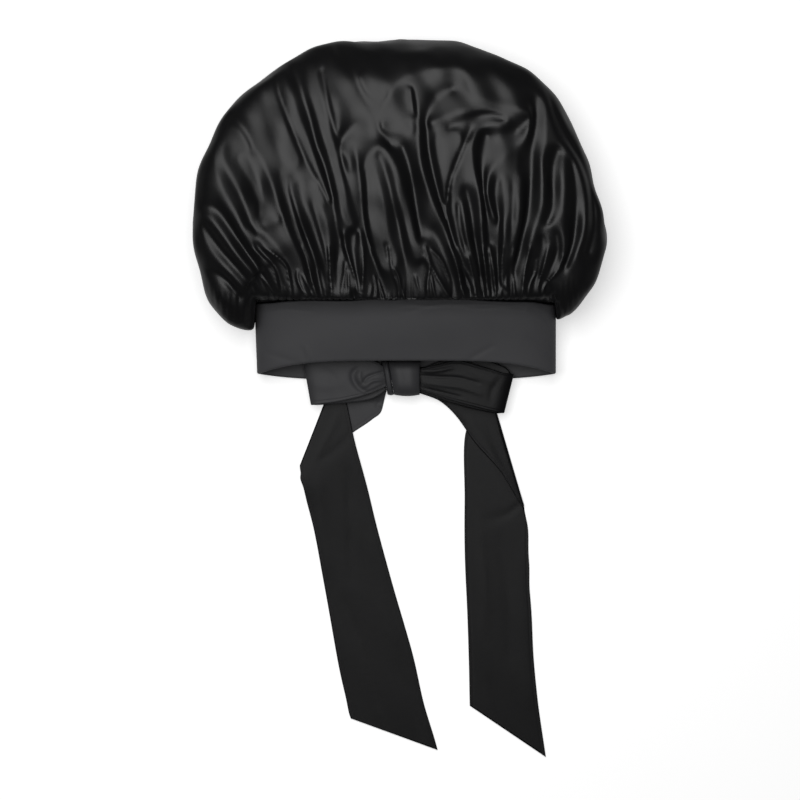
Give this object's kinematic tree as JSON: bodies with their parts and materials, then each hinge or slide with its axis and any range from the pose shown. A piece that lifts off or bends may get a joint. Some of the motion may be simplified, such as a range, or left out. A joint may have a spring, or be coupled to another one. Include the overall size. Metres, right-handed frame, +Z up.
{
  "type": "satin bonnet",
  "caption": "Gathered satin bonnet lying flat, with a wide smooth band and a tie knotted in a bow with long tails.",
  "frame": {"origin": "on the surface that the bonnet lies on, under the middle of its box", "axes": "+Z up from the surface; +Y from the tails to the crown; +X to the right as seen from above with the crown away from the eye"},
  "size_m": [0.3542, 0.62, 0.0962],
  "materials": {
    "crown_satin": "glossy black satin",
    "band_satin": "soft charcoal satin, smooth face",
    "tie_satin": "soft charcoal satin"
  },
  "bodies": {
    "root": {"crown": "crown_satin", "band": "band_satin", "bow_knot": "tie_satin", "knot_side_wrap": "tie_satin", "bow_loop_left": "tie_satin", "bow_loop_right": "tie_satin", "tail_left": "tie_satin", "tail_right": "tie_satin"}
  },
  "joints": []
}
